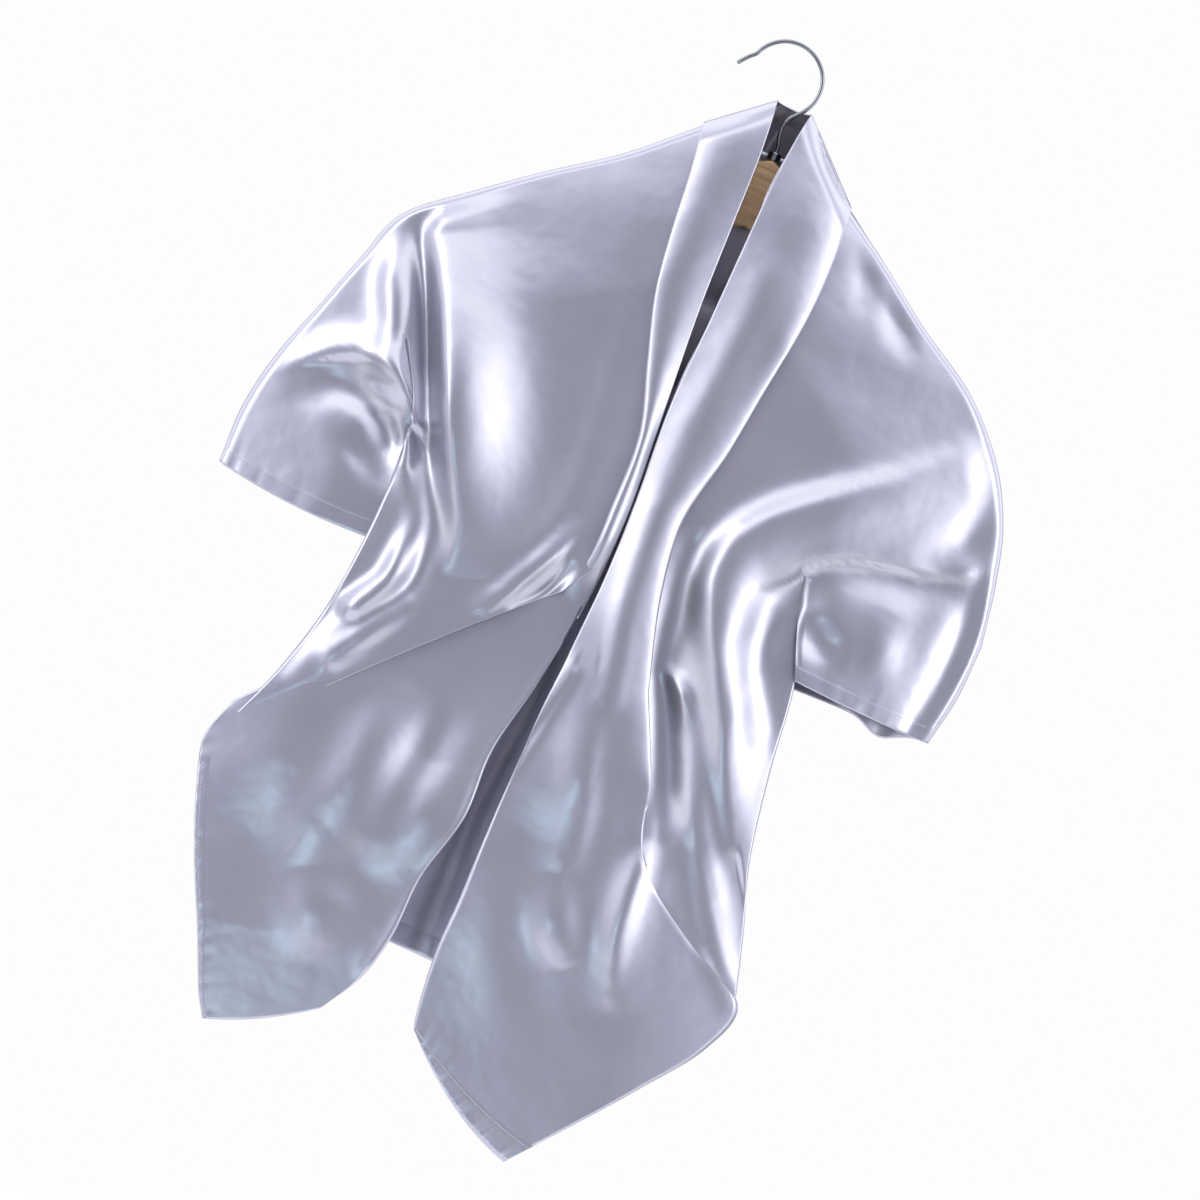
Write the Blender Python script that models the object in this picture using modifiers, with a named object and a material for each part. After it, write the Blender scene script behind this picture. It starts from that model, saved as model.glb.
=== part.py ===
"""Evening stole on a hanger.

One long rectangle of satin hangs over a wooden hanger. Its upper long edge is turned out as a
shawl collar, its sides fall over the arms like sleeves, and its two ends hang at the front.
Metres, +Z up, the front towards -Y. The origin is where the hook rests on a rail.

Cloth is laid out in its own millimetres: "across" from the middle of the neck, to the right, and
"down" from the fold at the nape. Depth is worked out from them, so layers never meet by accident.
"""
import math
from collections import namedtuple

import bpy
import numpy as np

# ---------------------------------------------------------------- driving dimensions, millimetres
MM = 0.001
CLOTH = 1.6          # wall of the cloth, front to back
HEM_CLOTH = 1.0      # the turned strip that lies on a hem
HEM_DEEP = 12.0      # how far a hem is turned
SEAM = 0.3           # gap where two stretches of cloth meet
NECK_DROP = 40.0     # fold at the nape, below the rail
NECK_SIDE = 9.0      # middle of the neck, to the right of the hook's crown
WOOD_THICK = 13.0    # hanger's arms, front to back
WOOD_SIDE = 5.0      # hanger's middle, to the right of the middle of the neck
WOOD_REACH = 192.0   # middle of the hanger to the end of an arm
WOOD_TOP = 42.0      # top of the hanger's middle, below the nape
WOOD_DEEP = 50.0     # height of the hanger's middle
WOOD_TAPER = 22.0    # how much lower an arm's end is than that
ARM_SLOPE = 0.42     # fall of the arms beside the middle
ARM_CURVE = 0.00098  # and how that fall grows, per millimetre
WIRE = 3.0           # thickness of the hook
HOOK_RADIUS = 26.6   # middle of the wire, round the crown
LAYER = 2.6          # air between one layer of cloth and the next
LAPEL_ROLL = 3.4     # extra height along the middle of a lapel
END_BEHIND = CLOTH + LAYER + 2.0   # how far the left end starts behind the gathered cloth
FOLD_ROLL = 12.0     # how wide the roll is where front turns into back
OVER = 3.0           # how far the collar's roll stands outside that one
WOOD_EASE = 2.0      # rounding of the wood's edges

Outline = namedtuple("Outline", "down left right")
OUTLINE = [           # where front and back meet: the shoulders, then the sleeves' outer folds
    Outline(0, -5, 16),
    Outline(36, -48, 45),
    Outline(56, -70, 72),
    Outline(78, -95, 105),
    Outline(110, -140, 149),
    Outline(140, -179, 196),
    Outline(174, -220, 229),
    Outline(216, -237, 253),
    Outline(260, -252, 265),
    Outline(302, -266, 272),
    Outline(343, -274, 270),
    Outline(384, -275, 263),
    Outline(800, -290, 280),
]

Form = namedtuple("Form", "down front back reach")
FORM = [              # how far the cloth stands off the hanger, and over what width it gets there
    Form(0, 11, 14, 24),
    Form(40, 15, 15, 50),
    Form(100, 18, 16, 85),
    Form(200, 21, 17, 115),
    Form(300, 25, 18, 125),
    Form(400, 28, 20, 130),
    Form(600, 30, 21, 130),
    Form(800, 27, 20, 130),
]

Fold = namedtuple("Fold", "height left right path")
FRONT_FOLDS = [       # height is towards the viewer; left and right are widths beside the path
    # left side: shoulder fold, deep trough, gathered ridge, chest ridge, hollow beside the lapel
    Fold(9, 16, 14, [(-226, 186), (-210, 212), (-192, 240), (-183, 275)]),
    Fold(-13, 11, 11, [(-205, 182), (-175, 221), (-142, 275), (-120, 335), (-110, 388), (-112, 415)]),
    Fold(13, 11, 11, [(-190, 285), (-160, 304), (-140, 342), (-126, 380), (-128, 415), (-146, 440)]),
    Fold(12, 26, 26, [(-160, 182), (-128, 245), (-95, 318), (-72, 365), (-72, 400)]),
    Fold(-7, 16, 16, [(-52, 150), (-40, 215), (-34, 290), (-38, 360)]),
    # left sleeve: arch and the hollow below it
    Fold(10, 14, 9, [(-256, 306), (-232, 285), (-205, 274), (-180, 279), (-160, 300)]),
    Fold(-13, 14, 14, [(-246, 330), (-218, 308), (-190, 308), (-170, 330)]),
    # right side: gathered ridge, pocket, trough beside the end
    Fold(15, 15, 13, [(212, 182), (168, 224), (120, 265), (90, 298), (82, 322), (98, 358),
                      (130, 418), (165, 490)]),
    Fold(-15, 13, 13, [(132, 318), (124, 345), (130, 378), (148, 408)]),
    Fold(-12, 14, 14, [(58, 340), (64, 390), (84, 435), (108, 505)]),
    # right sleeve: arch and the hollow below it
    Fold(8, 13, 9, [(138, 304), (160, 290), (190, 281), (226, 274), (254, 262)]),
    Fold(-11, 14, 14, [(150, 322), (170, 335), (196, 340)]),
    # ends
    Fold(7, 18, 18, [(-92, 480), (-93, 560), (-110, 600)]),
    Fold(-6, 16, 16, [(-60, 480), (-62, 530), (-70, 580)]),
    Fold(9, 12, 12, [(112, 520), (106, 570), (116, 612), (156, 612)]),
    Fold(7, 16, 16, [(38, 430), (52, 500), (62, 560), (84, 610), (110, 645)]),
]
BACK_FOLDS = [        # height is away from the viewer
    Fold(9, 24, 24, [(-150, 150), (-120, 260), (-104, 400), (-100, 560), (-108, 660)]),
    Fold(8, 22, 22, [(165, 140), (128, 260), (112, 400), (104, 540), (110, 660)]),
    Fold(-8, 22, 22, [(-60, 260), (-54, 420), (-58, 560), (-62, 670)]),
    Fold(9, 20, 20, [(-14, 300), (-6, 440), (-14, 560), (-12, 670)]),
    Fold(-8, 20, 20, [(46, 280), (52, 430), (46, 560), (54, 670)]),
    Fold(-7, 18, 18, [(-212, 230), (-196, 310), (-200, 390)]),
    Fold(-7, 18, 18, [(214, 230), (198, 310), (206, 390)]),
]

# A section runs from the piece's outer edge to its inner one; sag is how far its middle hangs.
Section = namedtuple("Section", "outer outer_down inner inner_down sag")
FRONT_LEFT = [
    Section(-48, 36, -6, 30, 0),
    Section(-95, 78, -5, 66, 0),
    Section(-140, 110, -4, 100, 0),
    Section(-179, 140, -4, 130, 0),
    Section(-220, 174, -3, 160, 0),
    Section(-237, 216, 0, 208, 0),
    Section(-250, 255, 3, 255, 0),
]
FRONT_RIGHT = [
    Section(45, 36, 13, 32, 0),
    Section(105, 78, 10, 66, 0),
    Section(149, 110, 11, 100, 0),
    Section(196, 140, 10, 130, 0),
    Section(229, 174, 8, 162, 0),
    Section(253, 216, 4, 210, 0),
    Section(264, 255, 5, 255, 0),
]
SLEEVE_LEFT = [
    Section(-250, 255, -186, 255, 0),
    Section(-266, 302, -162, 300, 0),
    Section(-274, 343, -152, 345, 0),
    Section(-274, 386, -153, 395, 4),
]
SLEEVE_RIGHT = [
    Section(264, 255, 150, 255, 0),
    Section(272, 302, 136, 302, 0),
    Section(270, 343, 147, 340, 0),
    Section(263, 379, 158, 374, 1),
]
DRAPE_LEFT = [
    Section(-185, 255, 3, 255, 0),
    Section(-161, 300, 5, 286, 0),
    Section(-155, 345, 6, 314, 0),
    Section(-157, 395, 5, 336, 4),
    Section(-164, 448, 2, 350, 6),
    Section(-179, 508, -5, 362, 0),
    Section(-207, 572, -14, 377, -6),
]
DRAPE_RIGHT = [
    Section(149, 255, 5, 255, 0),
    Section(137, 302, 8, 294, 0),
    Section(150, 340, 18, 334, 0),
    Section(161, 385, 34, 376, 0),
    Section(167, 440, 52, 420, 0),
    Section(178, 505, 72, 464, 0),
    Section(192, 548, 86, 502, 0),
    Section(207, 603, 98, 546, 0),
]
LAPEL_LEFT = [
    Section(-50, 35, -8, 1, 0),
    Section(-45, 70, -5, 42, 0),
    Section(-41, 115, -4, 98, 0),
    Section(-35, 160, -3, 154, 0),
    Section(-21, 210, 0, 208, 0),
    Section(-7, 255, 3, 255, 0),
    Section(-6, 310, 6, 310, 0),
    Section(-7, 352, 5, 350, 0),
    Section(-17, 388, 1, 392, 0),
]
LAPEL_RIGHT = [
    Section(69, 51, 18, 1, 0),
    Section(71, 90, 13, 42, 0),
    Section(69, 140, 10, 105, 0),
    Section(61, 195, 8, 161, 0),
    Section(54, 245, 5, 230, 0),
    Section(43, 305, 8, 300, 0),
    Section(49, 355, 9, 352, 0),
    Section(66, 420, 6, 420, 0),
]
END_LEFT = [
    Section(-198, 536, 3, 362, -12),
    Section(-208, 566, 0, 400, 0),
    Section(-200, 599, -8, 448, 0),
    Section(-183, 644, -20, 505, 0),
    Section(-171, 670, -20, 552, 0),
    Section(-160, 693, -32, 600, 0),
    Section(-150, 716, -36, 650, 0),
    Section(-142, 734, -46, 686, 0),
    Section(-133, 749, -60, 711, 4),
]
END_RIGHT = [
    Section(66, 420, 6, 420, 0),
    Section(91, 476, 3, 466, 0),
    Section(110, 530, 1, 520, 0),
    Section(160, 568, 0, 566, 0),
    Section(209, 600, 0, 604, 0),
    Section(199, 636, -1, 640, 0),
    Section(168, 677, 1, 672, 0),
    Section(133, 720, 4, 694, 3),
    Section(99, 761, 6, 700, 8),
]
BACK_PANEL = [
    Section(-8, 5, 19, 5, 0),
    Section(-48, 36, 45, 36, 0),
    Section(-95, 78, 105, 78, 0),
    Section(-140, 110, 149, 110, 0),
    Section(-179, 140, 196, 140, 0),
    Section(-220, 174, 229, 174, 0),
    Section(-237, 216, 253, 216, 0),
    Section(-252, 260, 265, 260, 0),
    Section(-266, 302, 272, 302, 0),
    Section(-274, 343, 270, 343, 0),
    Section(-274, 384, 263, 384, 0),
]
BACK_TAIL = [
    Section(-152, 384, 150, 384, 0),
    Section(-158, 450, 156, 450, 0),
    Section(-166, 520, 164, 520, 0),
    Section(-164, 590, 162, 592, 0),
    Section(-150, 634, 150, 640, 20),
]
NAPE_COLLAR = [
    Section(-8, 1, 18, 1, 0),
    Section(-24, 14, 34, 16, 4),
    Section(-38, 26, 52, 33, 12),
    Section(-50, 35, 69, 51, 24),
]

SATIN = (0.36, 0.36, 0.43, 1.0)
BEECH = (0.56, 0.34, 0.17, 1.0)
CHROME = (0.62, 0.63, 0.66, 1.0)


# ------------------------------------------------------------------------------ curves and depth
def through(known, values, wanted):
    """A smooth curve through the values at the known places, read at the wanted places."""
    known = np.asarray(known, float)
    values = np.asarray(values, float)
    wanted = np.clip(np.asarray(wanted, float), known[0], known[-1])
    slope = np.gradient(values, known)
    step = np.clip(np.searchsorted(known, wanted, side="right") - 1, 0, len(known) - 2)
    width = known[step + 1] - known[step]
    t = (wanted - known[step]) / width
    start = values[step] * (1 + 2 * t) * (1 - t) ** 2 + slope[step] * width * t * (1 - t) ** 2
    end = values[step + 1] * t * t * (3 - 2 * t) + slope[step + 1] * width * t * t * (t - 1)
    return start + end


def column(table, name, wanted):
    """One column of a table that is ordered by "down", read at any heights."""
    return through([row.down for row in table], [getattr(row, name) for row in table], wanted)


def ease(low, high, value):
    """0 below low, 1 above high, and a soft change between."""
    t = np.clip((value - low) / (high - low), 0, 1)
    return t * t * (3 - 2 * t)


def relief(folds, across, down):
    """The sum of the folds' heights at each place."""
    total = np.zeros_like(across, dtype=float)
    for fold in folds:
        nearest = np.full_like(total, np.inf)
        side = np.zeros_like(total)
        for (x0, d0), (x1, d1) in zip(fold.path, fold.path[1:]):
            run_x, run_d = x1 - x0, d1 - d0
            length = math.hypot(run_x, run_d)
            along = np.clip(((across - x0) * run_x + (down - d0) * run_d) / length ** 2, 0, 1)
            off_x = across - x0 - along * run_x
            off_d = down - d0 - along * run_d
            gap = np.hypot(off_x, off_d)
            closer = gap < nearest
            nearest = np.where(closer, gap, nearest)
            side = np.where(closer, run_x * off_d - run_d * off_x, side)
        width = np.where(side > 0, fold.right, fold.left)
        total += fold.height * np.exp(-(nearest / width) ** 2)
    return total


def stand_off(across, down, swell, over=0.0):
    """How far a layer hangs from the hanger's middle plane, before its folds."""
    from_left = across - column(OUTLINE, "left", down)
    from_right = column(OUTLINE, "right", down) - across
    inward = np.maximum(np.minimum(from_left, from_right) + over, 0)
    round_off = np.clip(inward / FOLD_ROLL, 0, 1)
    roll = (WOOD_THICK / 2 + SEAM) * np.sqrt(1 - (1 - round_off) ** 2)
    reach = column(FORM, "reach", down)
    return SEAM / 2 + roll + column(FORM, swell, down) * ease(0, 1, inward / reach)


def inside(across, down):
    """Folds fade out towards the shoulders and the sleeves' outer folds."""
    from_left = across - column(OUTLINE, "left", down)
    from_right = column(OUTLINE, "right", down) - across
    return ease(2, 34, np.minimum(from_left, from_right))


def front(across, down, over=0.0):
    """Depth of the front layer's inner face."""
    folds = relief(FRONT_FOLDS, across, down) * inside(across, down)
    return -stand_off(across, down, "front", over) - folds


def back(across, down, over=0.0):
    """Depth of the back layer's inner face."""
    folds = relief(BACK_FOLDS, across, down) * inside(across, down)
    return stand_off(across, down, "back", over) + folds


def lapel_lift(u):
    """Height of a lapel over the front layer: least at its fold, rolled clear of it beyond."""
    return CLOTH + 2 * SEAM + LAYER * (1 - u) + LAPEL_ROLL * np.sin(np.pi * u)


def lapel_depth(across, down, u, v):
    """The turned-out edge, which meets the collar along the shoulder line."""
    return front(across, down, OVER) - lapel_lift(u) * ease(0, 0.05, v)


def lapel_left_depth(across, down, u, v):
    """The left lapel dips at its foot, to meet the end that hangs behind the gathered cloth."""
    return lapel_depth(across, down, u, v) + END_BEHIND * ease(0.955, 1.0, v)


def end_left_depth(across, down, u, v):
    """The left end hangs behind the gathered cloth, and comes forward below it."""
    return front(across, down) + END_BEHIND * (1 - ease(0.12, 0.55, v)) + SEAM


def end_right_depth(across, down, u, v):
    """The right end carries on from its lapel, in front of the gathered cloth."""
    return front(across, down, OVER) - lapel_lift(u) * (1 - ease(0.55, 0.85, v))


def sleeve_left_depth(across, down, u, v):
    """The left sleeve goes in behind the gathered cloth beside it."""
    return front(across, down) + (CLOTH + 1.5 * LAYER) * ease(0.6, 0.92, u) * ease(0.04, 0.28, v)


def drape_right_depth(across, down, u, v):
    """The right gathers go in behind the sleeve on one side and the hanging end on the other."""
    behind_sleeve = (1 - ease(0.1, 0.4, u)) * ease(0.0, 0.11, v) * (1 - ease(0.5, 0.7, v))
    behind_end = 0.3 * ease(0.6, 1.0, u) * ease(0.5, 0.7, v)
    return front(across, down) + (CLOTH + 2 * LAYER) * (behind_sleeve + behind_end)


def front_depth(across, down, u, v):
    return front(across, down)


def back_depth(across, down, u, v):
    return back(across, down)


def collar_depth(across, down, u, v):
    """The collar's back meets the lapels along the shoulder line, and stands off the back panel."""
    return back(across, down, OVER) + (CLOTH + LAYER) * ease(0.0, 0.25, v) * np.sin(np.pi * u) ** 0.5


# ------------------------------------------------------------------------------- making the pieces
def spaced(count, first=0.0, last=0.0, crowd=1.0):
    """Places from 0 to 1, crowded towards 0, with a band of a set share at either end."""
    middle = np.linspace(0, 1, count + 1) ** crowd
    places = first + (1 - first - last) * middle
    return np.unique(np.concatenate([[0.0], places, [1.0]]).round(6))


def both_ways(half_count):
    """Places from 0 to 1, crowded towards both ends."""
    half = spaced(half_count, crowd=1.5) / 2
    return np.unique(np.concatenate([half, 1 - half]).round(6))


def lay(sections, columns, rows, inset=SEAM / 2):
    """Points of a piece: smooth rows through its sections, pulled in by half a seam all round."""
    mids = [((s.outer + s.inner) / 2, (s.outer_down + s.inner_down) / 2) for s in sections]
    steps = [math.dist(a, b) for a, b in zip(mids, mids[1:])]
    along = np.concatenate([[0.0], np.cumsum(steps)]) / sum(steps)
    outer, outer_down, inner, inner_down, sag = [
        through(along, [row[name] for row in sections], rows) for name in range(5)]
    u = columns[None, :]
    run_x = (inner - outer)[:, None]
    run_d = (inner_down - outer_down)[:, None]
    across = outer[:, None] + run_x * u
    down = outer_down[:, None] + run_d * u + sag[:, None] * 4 * u * (1 - u)
    centre_x = across.mean()
    centre_d = down.mean()
    size = max(np.ptp(across), np.ptp(down))
    shrink = 1 - 2 * inset / size
    across = centre_x + (across - centre_x) * shrink
    down = centre_d + (down - centre_d) * shrink
    return across, down


def material(name, colour, roughness, metallic=0.0):
    made = bpy.data.materials.new(name)
    made.use_nodes = True
    shader = made.node_tree.nodes["Principled BSDF"]
    shader.inputs["Base Color"].default_value = colour
    shader.inputs["Roughness"].default_value = roughness
    shader.inputs["Metallic"].default_value = metallic
    return made


def place(across, depth, down):
    """From the cloth's millimetres to metres in the part's frame."""
    return ((across + NECK_SIDE) * MM, depth * MM, -(down + NECK_DROP) * MM)


def finish(thing, collection, name, colour, roughness, metallic=0.0):
    thing.name = name
    thing.data.name = name
    thing.data.materials.append(material(name + "_finish", colour, roughness, metallic))
    for old in list(thing.users_collection):
        old.objects.unlink(thing)
    collection.objects.link(thing)
    return thing


def wall(collection, name, across, down, near, thick):
    """A closed wall of cloth from a grid of points: near is its face towards the front."""
    rows, columns = across.shape
    far = near + thick
    points = [place(across[r, c], depth[r, c], down[r, c])
              for depth in (near, far) for r in range(rows) for c in range(columns)]

    def at(side, row, col):
        return side * rows * columns + row * columns + col

    faces = []
    for r in range(rows - 1):
        for c in range(columns - 1):
            for ring in ([(r, c), (r + 1, c), (r + 1, c + 1)], [(r, c), (r + 1, c + 1), (r, c + 1)]):
                faces.append([at(0, *corner) for corner in ring])
                faces.append([at(1, *corner) for corner in reversed(ring)])
    rim = [(0, c) for c in range(columns)]
    rim += [(r, columns - 1) for r in range(1, rows)]
    rim += [(rows - 1, c) for c in range(columns - 2, -1, -1)]
    rim += [(r, 0) for r in range(rows - 2, 0, -1)]
    for here, there in zip(rim, rim[1:] + rim[:1]):
        faces.append([at(0, *here), at(0, *there), at(1, *there), at(1, *here)])
    mesh = bpy.data.meshes.new(name)
    mesh.from_pydata(points, [], faces)
    if across[0, -1] < across[0, 0]:
        mesh.flip_normals()
    mesh.shade_smooth()
    mesh.set_sharp_from_angle(angle=math.radians(40))
    thing = bpy.data.objects.new(name, mesh)
    return finish(thing, collection, name, SATIN, 0.3)


def cloth(collection, name, sections, columns, rows, depth, outward=-1):
    """One stretch of cloth. Its inner face is at the depth worked out for it."""
    across, down = lay(sections, columns, rows)
    u, v = np.meshgrid(columns, rows)
    face = depth(across, down, u, v)
    near = face - CLOTH if outward < 0 else face
    wall(collection, name, across, down, near, CLOTH)
    return across, down, near


def hem(collection, name, laid, rows, columns, outward=-1):
    """The turned edge: the same points as the panel's last band, moved off its outer face."""
    across, down, near = [part[rows, columns] for part in laid]
    lift = -(SEAM + HEM_CLOTH) if outward < 0 else CLOTH + SEAM
    wall(collection, name, across, down, near + lift, HEM_CLOTH)


def hanger_arm(reach):
    """Height of the wood's top edge at a distance from the hanger's middle."""
    return WOOD_TOP + ARM_SLOPE * reach + ARM_CURVE * reach ** 2


def wood(collection):
    """The hanger's wood: an outline with curved arms and round ends, extruded and eased."""
    reaches = np.linspace(-WOOD_REACH, WOOD_REACH, 21)
    top = [(reach, hanger_arm(abs(reach))) for reach in reaches]
    foot = [(reach, low + WOOD_DEEP - WOOD_TAPER * abs(reach) / WOOD_REACH) for reach, low in top]
    end_radius = (WOOD_DEEP - WOOD_TAPER) / 2
    turns = np.linspace(0, math.pi, 7)[1:-1]
    right = [(top[-1][0] + end_radius * 0.6 * math.sin(turn),
              top[-1][1] + end_radius * (1 - math.cos(turn))) for turn in turns]
    left = [(-reach, low) for reach, low in reversed(right)]
    outline = top + right + foot[::-1] + left
    curve = bpy.data.curves.new("hanger_wood", "CURVE")
    curve.dimensions = "2D"
    curve.fill_mode = "BOTH"
    curve.extrude = (WOOD_THICK / 2 - WOOD_EASE) * MM
    curve.bevel_depth = WOOD_EASE * MM
    curve.offset = -WOOD_EASE * MM
    curve.bevel_resolution = 1
    line = curve.splines.new("POLY")
    line.points.add(len(outline) - 1)
    for point, (reach, low) in zip(line.points, outline):
        point.co = (reach * MM, -low * MM, 0, 1)
    line.use_cyclic_u = True
    thing = bpy.data.objects.new("hanger_wood", curve)
    thing.rotation_euler = (math.pi / 2, 0, 0)
    thing.location = ((WOOD_SIDE + NECK_SIDE) * MM, 0, -NECK_DROP * MM)
    return finish(thing, collection, "hanger_wood", BEECH, 0.45)


def hook(collection):
    """The wire: up from the wood, out to the right, over the rail and down to an open tip."""
    crown_x = -NECK_SIDE
    crown_down = WIRE / 2 + HOOK_RADIUS - NECK_DROP - WIRE
    turns = np.radians(np.linspace(-38, 158, 21))
    loop = [(crown_x + HOOK_RADIUS * math.cos(turn), crown_down - HOOK_RADIUS * math.sin(turn))
            for turn in turns]
    shank = [(WOOD_SIDE, WOOD_TOP - 6.5), (WOOD_SIDE, 32), (WOOD_SIDE - 2, 25), (WOOD_SIDE - 3, 18),
             (WOOD_SIDE - 1, 11), (WOOD_SIDE + 3, 6)]
    tip = [(crown_x - 29.5, crown_down - 5), (crown_x - 34.5, crown_down + 1)]
    curve = bpy.data.curves.new("hanger_hook", "CURVE")
    curve.dimensions = "3D"
    curve.bevel_depth = WIRE / 2 * MM
    curve.bevel_resolution = 2
    curve.use_fill_caps = True
    line = curve.splines.new("POLY")
    path = shank + loop + tip
    line.points.add(len(path) - 1)
    for point, (across, down) in zip(line.points, path):
        point.co = (*place(across, 0, down), 1)
    thing = bpy.data.objects.new("hanger_hook", curve)
    return finish(thing, collection, "hanger_hook", CHROME, 0.2, 1.0)


def ferrule(collection):
    """The turned metal collar that holds the hook in the wood."""
    bpy.ops.mesh.primitive_cylinder_add(vertices=24, radius=5 * MM, depth=5.9 * MM,
                                        location=place(WOOD_SIDE, 0, WOOD_TOP - 3.25))
    thing = bpy.context.object
    ease_edge = thing.modifiers.new("eased", "BEVEL")
    ease_edge.width = 0.8 * MM
    ease_edge.segments = 2
    thing.data.shade_smooth()
    thing.data.set_sharp_from_angle(angle=math.radians(35))
    return finish(thing, collection, "hanger_ferrule", CHROME, 0.25, 1.0)


def build():
    for old in list(bpy.data.objects):
        bpy.data.objects.remove(old)
    stole = bpy.data.collections.new("evening_stole_on_hanger")
    bpy.context.scene.collection.children.link(stole)

    wide = spaced(11, crowd=1.5)
    cloth(stole, "front_left", FRONT_LEFT, wide, spaced(9), front_depth)
    cloth(stole, "front_right", FRONT_RIGHT, wide, spaced(9), front_depth)
    hem_rows = spaced(9, last=HEM_DEEP / 135)
    left = cloth(stole, "sleeve_left", SLEEVE_LEFT, spaced(7, crowd=1.4), hem_rows,
                 sleeve_left_depth)
    right = cloth(stole, "sleeve_right", SLEEVE_RIGHT, spaced(8, crowd=1.4), hem_rows, front_depth)
    last_band = slice(-2, None)
    every = slice(None)
    hem(stole, "sleeve_hem_left", left, last_band, every)
    hem(stole, "sleeve_hem_right", right, last_band, every)
    cloth(stole, "drape_left", DRAPE_LEFT, spaced(10), spaced(11), front_depth)
    cloth(stole, "drape_right", DRAPE_RIGHT, spaced(10), spaced(18), drape_right_depth)
    lapel_rows = spaced(21, last=0.04, crowd=1.5)
    cloth(stole, "lapel_left", LAPEL_LEFT, spaced(5), lapel_rows, lapel_left_depth)
    cloth(stole, "lapel_right", LAPEL_RIGHT, spaced(5), lapel_rows, lapel_depth)

    end_rows = spaced(13, last=HEM_DEEP / 330)
    edge_band = slice(0, 2)
    end_columns = spaced(8, first=HEM_DEEP / 150)
    left = cloth(stole, "end_left", END_LEFT, end_columns, end_rows, end_left_depth)
    right = cloth(stole, "end_right", END_RIGHT, end_columns, end_rows, end_right_depth)
    hem(stole, "end_hem_left", left, slice(4, None), edge_band)
    hem(stole, "end_hem_right", right, last_band, every)

    cloth(stole, "back_panel", BACK_PANEL, both_ways(11), spaced(12), back_depth, outward=1)
    tail_rows = spaced(9, last=HEM_DEEP / 265)
    tail = cloth(stole, "back_tail", BACK_TAIL, spaced(16), tail_rows, back_depth, outward=1)
    hem(stole, "tail_hem", tail, last_band, every, outward=1)
    cloth(stole, "nape_collar", NAPE_COLLAR, both_ways(7), spaced(7, crowd=1.4), collar_depth, outward=1)

    wood(stole)
    ferrule(stole)
    hook(stole)


build()
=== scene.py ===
# %% [markdown]
# # An evening stole on a hanger
# A stole is one long rectangle of satin. Hung up, it makes very different stretches of cloth: a
# collar, two sleeve-like sides, gathers, and two hanging ends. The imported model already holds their
# places and sizes. This script gives them their real surface, one sheet at a time.

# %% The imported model
import math
from collections import namedtuple

import bmesh
import bpy
import numpy as np
from mathutils import Matrix, Vector


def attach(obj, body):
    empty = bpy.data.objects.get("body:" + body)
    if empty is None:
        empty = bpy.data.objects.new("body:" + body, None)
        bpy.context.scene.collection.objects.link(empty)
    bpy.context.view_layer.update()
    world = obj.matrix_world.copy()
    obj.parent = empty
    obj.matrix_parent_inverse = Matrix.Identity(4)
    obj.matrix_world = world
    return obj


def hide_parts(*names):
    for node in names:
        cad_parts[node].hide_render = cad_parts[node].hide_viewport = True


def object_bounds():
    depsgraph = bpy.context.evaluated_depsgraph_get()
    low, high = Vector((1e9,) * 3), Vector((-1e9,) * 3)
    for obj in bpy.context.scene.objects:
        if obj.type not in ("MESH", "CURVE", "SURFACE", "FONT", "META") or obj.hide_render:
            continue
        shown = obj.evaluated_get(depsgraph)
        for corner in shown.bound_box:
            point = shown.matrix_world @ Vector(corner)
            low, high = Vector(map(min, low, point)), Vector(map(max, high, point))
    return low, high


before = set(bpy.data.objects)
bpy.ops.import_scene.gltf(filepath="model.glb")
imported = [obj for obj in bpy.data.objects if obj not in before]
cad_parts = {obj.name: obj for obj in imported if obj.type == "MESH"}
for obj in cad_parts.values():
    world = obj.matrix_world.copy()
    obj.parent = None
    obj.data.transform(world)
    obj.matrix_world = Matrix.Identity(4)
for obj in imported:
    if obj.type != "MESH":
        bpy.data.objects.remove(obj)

cad_box = [list(corner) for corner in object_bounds()]
print("nodes:", ", ".join(sorted(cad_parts)))

# %% [markdown]
# ## Sizes
# All cloth is laid out in millimetres on the stole's own two measures: "across", from the middle of
# the neck to the right, and "down", from the fold at the nape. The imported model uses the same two,
# so every sheet lands on its solid. Depth is then worked out, not drawn.

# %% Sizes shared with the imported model
MM = 0.001
CLOTH = 1.6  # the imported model's cloth, front to back
SEAM = 0.3
NECK_DROP = 40.0  # from the hook's crown down to the fold at the nape
NECK_SIDE = 9.0  # from the hook's crown back to the neck's middle
WOOD_THICK = 13.0
WOOD_SIDE = 5.0
WOOD_TOP = 42.0
WIRE = 3.0
HOOK_RADIUS = 26.6

# %% Sizes of the visible cloth
SATIN_THICK = 0.5
LAYER = 2.6  # how far a layer of cloth lies off the one below it
LAPEL_ROLL = 3.4  # how far a lapel's turn bellies out
WIDE_ROLL = 5.5  # the same for the wider right lapel
FOLD_ROLL = 5.5  # width of the round turn from front to back
OVER = 3.0  # the collar reaches this much further round that turn
TINY = 1e-9  # keeps a division from being by zero


def rows_of(kind):
    """A function that turns plain rows of numbers into named ones."""
    return lambda *rows: [kind(*row) for row in rows]


outline = rows_of(namedtuple("Outline", "down left right"))
OUTLINE = outline(
    (0, -5, 16), (36, -48, 45), (56, -70, 72), (78, -95, 105), (110, -140, 149),
    (140, -179, 196), (174, -220, 229), (216, -237, 253), (260, -252, 265), (302, -266, 272),
    (343, -274, 270), (384, -275, 263), (800, -290, 280))

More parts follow.
